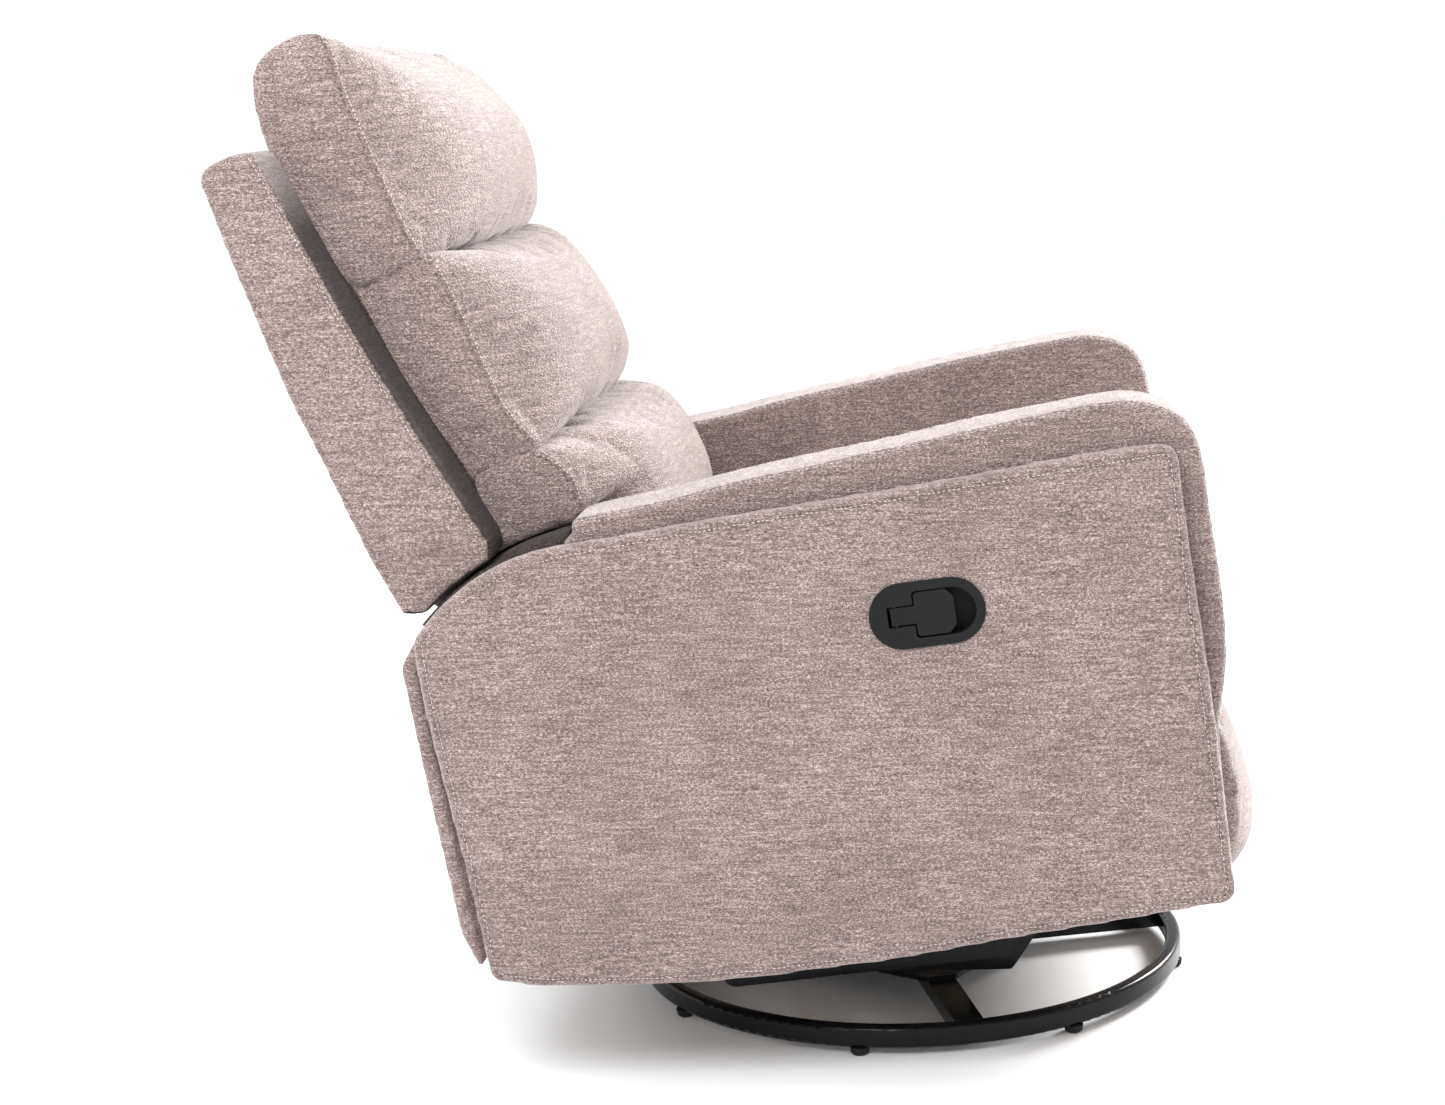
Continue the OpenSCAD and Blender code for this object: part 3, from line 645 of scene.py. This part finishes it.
SEAT_CENTRE = outline([
    (-334, 330), (-340, 380), (-336, 430), (-314, 458), (-270, 470), (-60, 472), (120, 467), (190, 458),
    (208, 440), (209, 400), (205, 362), (190, 356), (60, 356), (-120, 356), (-290, 356), (-302, 348),
    (-312, 327),
])
FOOT_SIDE = outline([
    (-326, 304), (-344, 305), (-351, 276), (-356, 246), (-357, 217), (-352, 184), (-343, 150), (-332, 134),
    (-323, 136), (-322, 180), (-322, 250),
])
FOOT_CENTRE = outline([
    (-326, 306), (-346, 308), (-363, 276), (-371, 244), (-377, 208), (-380, 172), (-373, 138), (-346, 126),
    (-323, 132), (-322, 180), (-322, 250),
])

HEAD_SEAM = curved([(356, 866), (374, 930), (397, 1018), (404, 1062), (413, 1077)])
MIDDLE_SEAM = curved([(272, 662), (298, 708), (323, 797), (340, 846), (352, 857)])
WING_SEAM = curved([(240, 604), (244, 624), (258, 642), (274, 653)])
HEAD_BACK_SEAM = curved([(418, 850), (452, 930), (466, 1000), (462, 1060)])
MIDDLE_BACK_SEAM = curved([(330, 652), (364, 712), (388, 780), (398, 838)])


def at_x(x, line):
    return world(ring(x, np.asarray(line, float)))


# ---- Back cushions, seat cushion and footrest pad: filled by a cloth simulation ----


def sewn(name, half, centre, side, seams, power, bulge, voxel=5.0, core=None):
    """A cushion ready to be filled, with the seams that hold its cloth."""
    end = half - bulge
    thing = pillow(name, -end, end, centre, side, power, bulge)
    if core:
        thing = joined(name, [thing, core])
    remeshed(thing, voxel, 3)
    lines = [at_x(sign * end, seam) for seam in seams for sign in (-1, 1)]
    return thing, lines


def fill(cushions, pressure=3.2, frames=20):
    """Inflates the cushions together; the seams and the backs stay where they are."""
    for thing, lines, hold, _ in cushions:
        points = coordinates(thing)
        held = hold(level(points))
        for line in lines:
            away, _ = nearest(points, line)
            held = np.maximum(held, 1 - smoothstep(away, 0.004, 0.012))
        group = thing.vertex_groups.new(name="held")
        for i in np.where(held > 0.02)[0]:
            group.add([int(i)], float(held[i]), "REPLACE")
        cloth = thing.modifiers.new("cloth", "CLOTH")
        s = cloth.settings
        s.quality = 4
        s.mass = 0.35
        s.tension_stiffness = s.compression_stiffness = 12
        s.shear_stiffness = 6
        s.bending_stiffness = 3.0
        s.use_pressure = True
        s.uniform_pressure_force = pressure
        s.shrink_min = -0.012
        s.vertex_group_mass = "held"
        s.effector_weights.gravity = 0
        cloth.point_cache.frame_start = 1
        cloth.point_cache.frame_end = frames
    scene = bpy.context.scene
    for number in range(1, frames + 1):
        scene.frame_set(number)
    graph = bpy.context.evaluated_depsgraph_get()
    for thing, _, hold, cap in cushions:
        before = coordinates(thing)
        after = coordinates(thing.evaluated_get(graph))
        move = after - before
        size = np.linalg.norm(move, axis=1)[:, None]
        move *= np.tanh(size / cap) * cap / np.maximum(size, 1e-9)
        move *= (1 - hold(level(before)))[:, None]
        thing.modifiers.clear()
        thing.vertex_groups.clear()
        place(thing, before + move)
    scene.frame_set(1)


def behind(line, span=30.0):
    """How far a level point lies towards the rear of a front-to-rear line of (z, y) rows."""
    heights = np.array([z for z, _ in line], float)
    depths = np.array([y for _, y in line], float)

    def hold(points):
        rear = np.interp(points[:, 2], heights, depths)
        return smoothstep(points[:, 1], rear - span, rear)
    return hold


head_power = 3.6 - 1.2 * smoothstep(HEAD_CENTRE[:, 1], 985, 1045)
head, head_lines = sewn(
    "headrest_cushion_cover", HEAD_HALF, HEAD_CENTRE, HEAD_SIDE, [HEAD_SEAM], head_power, 7,
)
ear = level(coordinates(head))
sag = smoothstep(ear[:, 0], 60, HEAD_HALF) * smoothstep(ear[:, 2], 960, 1080)
place(head, coordinates(head) - world([[0, 0, 11]]) * sag[:, None])
middle, middle_lines = sewn(
    "middle_cushion_cover", MIDDLE_HALF, MIDDLE_CENTRE, MIDDLE_SIDE, [MIDDLE_SEAM], 3.6, 6,
)
lower_core = pillow("lower_core", -ARM_IN + 5, ARM_IN - 5, LOWER_CENTRE, LOWER_SIDE, 6.0, 2)
lower, lower_lines = sewn(
    "lower_back_cushion_cover", LOWER_HALF, WING_CENTRE, WING_SIDE, [WING_SEAM], 3.6, 3, core=lower_core,
)
seat, seat_lines = sewn("seat_cushion_cover", SEAT_HALF, SEAT_CENTRE, SEAT_SIDE, [], 4.0, 2, 7)
foot, foot_lines = sewn("footrest_pad_cover", PAD_HALF, FOOT_CENTRE, FOOT_SIDE, [], 5.0, 3)

lower_rear = behind([(490, 284), (560, 298), (640, 326)])


def lower_hold(p):
    return np.maximum(lower_rear(p), 1 - smoothstep(p[:, 2], 500, 540))


def seat_hold(p):
    return np.maximum(1 - smoothstep(p[:, 2], 360, 420), smoothstep(p[:, 1], 180, 205))


def foot_hold(p):
    return smoothstep(p[:, 1], -345, -328)


fill([
    (head, head_lines, behind([(850, 415), (975, 472), (1060, 468)]), 0.007),
    (middle, middle_lines, behind([(650, 338), (757, 388), (833, 402)]), 0.007),
    (lower, lower_lines, lower_hold, 0.006),
    (seat, seat_lines, seat_hold, 0.007),
    (foot, foot_lines, foot_hold, 0.005),
])

for thing in (head, middle, lower, seat, foot):
    modifier(thing, "SUBSURF", levels=1, render_levels=1)
    bake(thing)
    uneven(thing, 0.13, 0.0009, len(thing.name))


def side_seams(name, thing, half, line, pucker=1.3, shift=5.0, second=None):
    """Presses the front seams of a cushion at both ends, and stitches beside them."""
    rows = []
    for sign in (-1, 1):
        path = at_x(sign * half, line)
        laid = groove(thing, path, 2.0, 1.9, 1.0, 4.8, pucker, 30, 21, 3 + sign)
        rows.append(laid + world([[0, -shift, 0]]))
        if second is not None:
            back_path = at_x(sign * half, second)
            groove(thing, back_path, 1.1, 2.0, 0.3, 4.6)
    return stitches(name, thing, rows)


head_thread = side_seams("headrest_stitches", head, HEAD_HALF, HEAD_SEAM, second=HEAD_BACK_SEAM)
middle_thread = side_seams("middle_stitches", middle, MIDDLE_HALF, MIDDLE_SEAM, second=MIDDLE_BACK_SEAM)
lower_thread = side_seams("lower_back_stitches", lower, LOWER_HALF, WING_SEAM, 0.8)

settle(head, "backrest", "headrest_cushion", fill=0.8)
settle(middle, "backrest", "middle_cushion", fill=0.8)
settle(lower, "backrest", "lower_back_cushion", fill=0.8)
settle(seat, "seat", "seat_cushion", fill=0.8)
settle(foot, "footrest", "footrest_pad", fill=0.75)
for thread in (head_thread, middle_thread, lower_thread):
    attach(thread, "backrest")

# ---- Back slab ----


def arc(radius, first, last, step=3):
    """Level points round the recline axis, at that radius, between two angles in degrees."""
    turns = range(first, last + (1 if last > first else -1), step if last > first else -step)
    y, z = RECLINE_AXIS
    return [(y + radius * math.cos(math.radians(a)), z + radius * math.sin(math.radians(a))) for a in turns]


SLAB_REAR = [(413, 525), (434, 577), (485, 745), (514, 866), (532, 955)]
SLAB_FRONT = [(474, 973), (421, 824), (393, 757), (368, 697), (334, 621), (317, 582)]
SLAB_BOTTOM = arc(SHOULDER_R + 8.5, 69, 47, 4)
SLAB_TOP = [(533, 964), (524, 972), (500, 979), (480, 979)]
slab_edge = np.array(SLAB_REAR + SLAB_TOP + SLAB_FRONT + SLAB_BOTTOM, float)
backing = np.array([
    (438, 930), (393, 816), (372, 757), (346, 697), (322, 640),
    (334, 621), (368, 697), (393, 757), (421, 824), (460, 930),
])
skirt_edge = np.array(arc(SHOULDER_R + 14, 72, 45) + arc(SHOULDER_R + 1.5, 45, 72))
slab = joined("back_slab_cover", [
    prism("slab_body", slab_edge, -SLAB_HALF + 1.5, SLAB_HALF - 1.5),
    prism("slab_backing", backing, -LOWER_HALF + 10, LOWER_HALF - 10),
    prism("slab_skirt", skirt_edge, -ARM_IN + 2, ARM_IN - 2),
])
remeshed(slab, 5.5, 4)
modifier(slab, "SUBSURF", levels=1, render_levels=1)
bake(slab)


def puffed(thing, axis, sign, height, reach, edges):
    """Crowns a flat face: it stands out by height, fading within reach millimetres of the edges."""
    points = coordinates(thing)
    away, _ = nearest(points, edges)
    facing = np.clip(normals(thing) @ (np.array(axis, float) * sign), 0, 1) ** 2
    lift = height * MM * (1 - np.exp(-away / (reach * MM))) * facing
    place(thing, points + np.array(axis, float) * sign * lift[:, None])


def shaded(thing, values):
    """Paints shade on thing: how dark each vertex is painted, as if deep in a gap, from 0 to 1."""
    painted_shade = thing.data.attributes.new("shade", "FLOAT", "POINT")
    painted_shade.data.foreach_set("value", values)


for sign in (-1, 1):
    border = at_x(sign * SLAB_HALF, along(np.vstack([slab_edge, slab_edge[:1]]), 8))
    puffed(slab, (1, 0, 0), sign, 3.0, 30, border)
uneven(slab, 0.2, 0.0012, 11)
slab_rows = []
front_line = along(SLAB_FRONT[::-1], 6)
for sign in (-1, 1):
    groove(slab, at_x(sign * SLAB_HALF, front_line + [7, 1]), 1.2, 2.0, 0.8, 4.6)
    slab_rows.append(at_x(sign * SLAB_HALF, front_line + [7, 1]))
    groove(slab, at_x(sign * SLAB_HALF, along(SLAB_REAR, 6) - [7, 0]), 1.0, 2.0, 0.6, 4.6)
# Painted shade: the slab's front faces below the top and its downward faces are darkened through the shade
# attribute.
points = coordinates(slab)
facing = smoothstep(-normals(slab)[:, 1], 0.25, 0.75)
below = smoothstep(-normals(slab)[:, 2], 0.25, 0.75)
low_down = 1 - smoothstep(level(points)[:, 2], 890, 985)
shaded(slab, 0.82 * np.maximum(facing * low_down, below))
slab_thread = stitches("slab_stitches", slab, slab_rows)
settle(slab, "backrest", "back_slab", fill=0.9)
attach(slab_thread, "backrest")

# ---- Side panels ----

SHOULDER = arc(SHOULDER_R, 44, 88, 4)


def rounded_corner(at, before, after, radius, steps=6):
    """An arc of that radius in the corner at, between before and after."""
    at, before, after = (np.array(p, float) for p in (at, before, after))
    u = (before - at) / np.linalg.norm(before - at)
    w = (after - at) / np.linalg.norm(after - at)
    half = math.acos(float(np.clip(u @ w, -1, 1))) / 2
    middle = at + (u + w) / np.linalg.norm(u + w) * radius / math.sin(half)
    start = at + u * radius / math.tan(half) - middle
    end = at + w * radius / math.tan(half) - middle
    rows = []
    for k in range(steps + 1):
        t = k / steps
        way = start * math.sin(1 - t) + end * math.sin(t)
        rows.append(middle + way / np.linalg.norm(way) * radius)
    return rows


panel_line = (
    rounded_corner((-338, 150), (-334, 593), (-107, 140), 13)
    + [(-107, 140), (8, 132), (123, 130), (239, 135), (336, 147)]
    + rounded_corner((384, 158), (336, 147), (394, 316), 14)
    + [(394, 316), (402, 455)] + SHOULDER
    + [(130, 579), (-60, 584)] + rounded_corner((-333, 593), (-60, 584), (-338, 150), 15)
)
panel_line = np.array(panel_line, float)
panel_loop = along(np.vstack([panel_line, panel_line[:1]]), 6)


def inward(loop, amount):
    """The closed line moved inwards by that many millimetres."""
    ahead = np.roll(loop, -2, axis=0) - np.roll(loop, 2, axis=0)
    ahead /= np.linalg.norm(ahead, axis=1)[:, None]
    left = np.column_stack([-ahead[:, 1], ahead[:, 0]])
    area = 0.5 * np.sum(loop[:, 0] * np.roll(loop[:, 1], -1) - np.roll(loop[:, 0], -1) * loop[:, 1])
    return loop + left * amount * (1 if area > 0 else -1)


def stadium(long, high, steps=16):
    """A closed line with two straight sides and two round ends, about the origin."""
    rows = []
    for start, centre in ((-90, (long - high) / 2), (90, -(long - high) / 2)):
        for k in range(steps + 1):
            a = math.radians(start + 180 * k / steps)
            rows.append((centre + high / 2 * math.cos(a), high / 2 * math.sin(a)))
    return np.array(rows)


def side_panel(name, sign):
    """An upholstered outer panel with a sewn hem, and the line that its stitches follow."""
    inner, outer = sign * (PANEL_IN + 0.6), sign * (PANEL_OUT - 1.2)
    thing = prism(name, panel_loop[:-1], min(inner, outer), max(inner, outer))
    remeshed(thing, 5.5, 3)
    modifier(thing, "SUBSURF", levels=1, render_levels=1)
    bake(thing)
    edge = at_x(sign * PANEL_OUT, panel_loop)
    puffed(thing, (1, 0, 0), sign, 2.6, 26, edge)
    uneven(thing, 0.22, 0.0013, 20 + sign)
    hem = at_x(sign * PANEL_OUT, inward(panel_loop, 8.5))
    groove(thing, hem, 1.8, 2.0, 0.9, 4.6)
    return thing, hem


left_panel, left_hem = side_panel("side_panel_left_cover", 1)
right_panel, right_hem = side_panel("side_panel_right_cover", -1)
bezel_at = level(sum(np.array(c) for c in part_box("handle_bezel")) / 2)[1:]
cut(right_panel, prism("handle_hole", stadium(100, 54) + bezel_at, -PANEL_OUT - 20, -PANEL_IN + 20))
settle(left_panel, "seat", "side_panel_left", fill=0.9)
settle(right_panel, "seat", "side_panel_right", fill=0.9)
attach(stitches("left_panel_stitches", left_panel, [left_hem]), "seat")
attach(stitches("right_panel_stitches", right_panel, [right_hem]), "seat")

# ---- Arms ----

ARM_TOP = [(236, 591), (205, 594), (141, 599), (66, 608), (-45, 616), (-154, 626), (-227, 631), (-266, 633)]
ARM_NOSE = [
    (-301, 631), (-333, 617), (-349, 596), (-355, 564), (-356, 516), (-358, 469), (-358, 420), (-354, 376),
    (-346, 340),
]
ARM_FOOT = [(-341, 318), (-337, 240), (-337, 156)]


def arm(name, sign, node):
    """A covered arm: an inner plate, and a crowned band over the top, the nose and the front."""
    inner, outer = ARM_IN + 0.8, PANEL_IN - 0.8
    path = curved(ARM_TOP + ARM_NOSE + ARM_FOOT, 8)
    rear_end = [(288, 565), (262, 572), (236, 574)]
    plate = np.vstack([path, [(-252, 156), (-252, 326), (212, 326), (214, 478), (288, 505)] + rear_end])
    band = np.vstack([path, [(-327, 156), (-327, 346), (-312, 556), (-45, 545), (288, 530)] + rear_end])
    x = sorted((sign * inner, sign * (inner + 19)))
    y = sorted((sign * (inner + 12), sign * outer))
    thing = joined(name, [prism(name, plate, *x), prism(name + "_band", band, *y)])
    remeshed(thing, 5.0, 3)
    modifier(thing, "SUBSURF", levels=1, render_levels=1)
    bake(thing)
    points = coordinates(thing)
    across = np.clip((np.abs(level(points)[:, 0]) - inner) / (outer - inner), 0, 1)
    away, _ = nearest(points * [0, 1, 1], world(ring(0, path)))
    on_path = 1 - smoothstep(away, 0.006, 0.02)
    crown = 1 - (2 * across - 1) ** 4
    place(thing, points + normals(thing) * (crown * on_path * 2.0 * MM)[:, None])
    uneven(thing, 0.18, 0.0010, 30 + sign)
    rows = []
    for x_at, deep in ((inner + 6, 1.8), (outer - 3, 1.3)):
        line = at_x(sign * x_at, path)
        groove(thing, line, deep, 2.4, 0.9, 5.2, 0.4, 24, 26, 5)
        rows.append(line)
    settle(thing, "seat", node, fill=0.85)
    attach(stitches(name + "_stitches", thing, rows), "seat")


# Painted shade: fabric strips over the shoulders close the gap under the slab and are darkened all over
# through the shade attribute.
for sign, name in ((1, "shoulder_lining_left"), (-1, "shoulder_lining_right")):
    ends = sorted((sign * (ARM_IN + 1), sign * (PANEL_IN - 0.8)))
    lining = prism(name, np.array(arc(SHOULDER_R + 4.2, 47, 86) + arc(SHOULDER_R - 5, 86, 47)), *ends)
    dress(lining, FABRIC)
    shaded(lining, np.full(len(lining.data.vertices), 0.8))
    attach(lining, "seat")

arm("arm_left_cover", 1, "arm_pad_left")
arm("arm_right_cover", -1, "arm_pad_right")

# ---- Rear panel ----

REAR_FRONT = [(391, 172), (396, 234), (400, 316), (405, 403), (408, 466), (400, 491), (395, 500)]
REAR_BACK = [(399, 503), (407, 496), (418, 481), (422, 474), (419, 403), (415, 316), (409, 203), (396, 168)]
rear_edge = np.array(REAR_FRONT + REAR_BACK, float)
rear_flange = np.array([(384, 180), (378, 300), (386, 440), (404, 446), (404, 300), (397, 180)])
rear_parts = [prism("rear_body", rear_edge, -REAR_HALF + 1, REAR_HALF - 1)]
for sign in (-1, 1):
    ends = sorted((sign * (PANEL_IN - 13), sign * (PANEL_IN - 1.5)))
    rear_parts.append(prism("rear_flange", rear_flange, *ends))
rear = joined("rear_panel_cover", rear_parts)
remeshed(rear, 4, 1)
modifier(rear, "SUBSURF", levels=1, render_levels=1)
bake(rear)
uneven(rear, 0.2, 0.0016, 41)
settle(rear, "seat", "rear_panel", fill=0.5)

# ---- CAD nodes that stay in view ----

kinds = {s["node"]: s["material_slot"] for s in frame["record"]["subparts"]}
for node, thing in frame["nodes"].items():
    thing.data.materials.clear()
    thing.data.materials.append(SLOTS[kinds[node]])
    if not thing.hide_render:
        modifier(thing, "BEVEL", width=0.0006, segments=2, limit_method="ANGLE", angle_limit=math.radians(35))

# ---- Stage, lights and camera ----


def plain(name, colour, rough):
    n = Nodes(name)
    n.set(Base_Color=(*colour, 1), Roughness=rough)
    return n.material


floor = new_object("floor", [(-14, -14, 0), (14, -14, 0), (14, 14, 0), (-14, 14, 0)], [(0, 1, 2, 3)])
floor.data.materials.append(plain("floor", (0.97, 0.97, 0.97), 0.6))

backdrop = bpy.data.worlds.new("studio")
backdrop.use_nodes = True
backdrop.node_tree.nodes["Background"].inputs["Color"].default_value = (1, 1, 1, 1)
backdrop.node_tree.nodes["Background"].inputs["Strength"].default_value = 1.03
bpy.context.scene.world = backdrop


def softbox(name, at, target, size, power, colour=(1, 1, 1)):
    lamp = bpy.data.lights.new(name, "AREA")
    lamp.shape = "RECTANGLE"
    lamp.size, lamp.size_y = size
    lamp.energy = power
    lamp.color = colour
    thing = bpy.data.objects.new(name, lamp)
    thing.location = at
    thing.rotation_euler = (Vector(target) - Vector(at)).to_track_quat("-Z", "Y").to_euler()
    bpy.context.scene.collection.objects.link(thing)


softbox("key", (2.5, -2.4, 2.0), (0, 0, 0.75), (1.1, 1.1), 300)
softbox("fill", (-1.9, 0.8, 2.2), (0, 0.3, 0.95), (1.2, 1.2), 52, (0.95, 0.97, 1))
softbox("rim", (-0.6, 2.6, 1.9), (0, 0.2, 0.7), (1.4, 1.8), 16)
softbox("top", (0.1, -0.2, 3.0), (0, 0, 0), (2.4, 2.4), 14)
bpy.context.scene.view_settings.view_transform = "Standard"

yaw, pitch, roll = (math.radians(a) for a in (5.638, 10.164, -3.11))
forward = Vector((math.cos(pitch) * math.cos(yaw), math.cos(pitch) * math.sin(yaw), -math.sin(pitch)))
right = forward.cross(Vector((0, 0, 1))).normalized()
up = right.cross(forward)
right, up = right * math.cos(roll) + up * math.sin(roll), up * math.cos(roll) - right * math.sin(roll)
lens = bpy.data.cameras.new("camera")
lens.lens = 61.86
lens.sensor_width = 36
camera = bpy.data.objects.new("camera", lens)
bpy.context.scene.collection.objects.link(camera)
camera.matrix_world = Matrix((
    (right.x, up.x, -forward.x, -2.6591),
    (right.y, up.y, -forward.y, -0.0762),
    (right.z, up.z, -forward.z, 0.9455),
    (0, 0, 0, 1),
))
bpy.context.scene.camera = camera
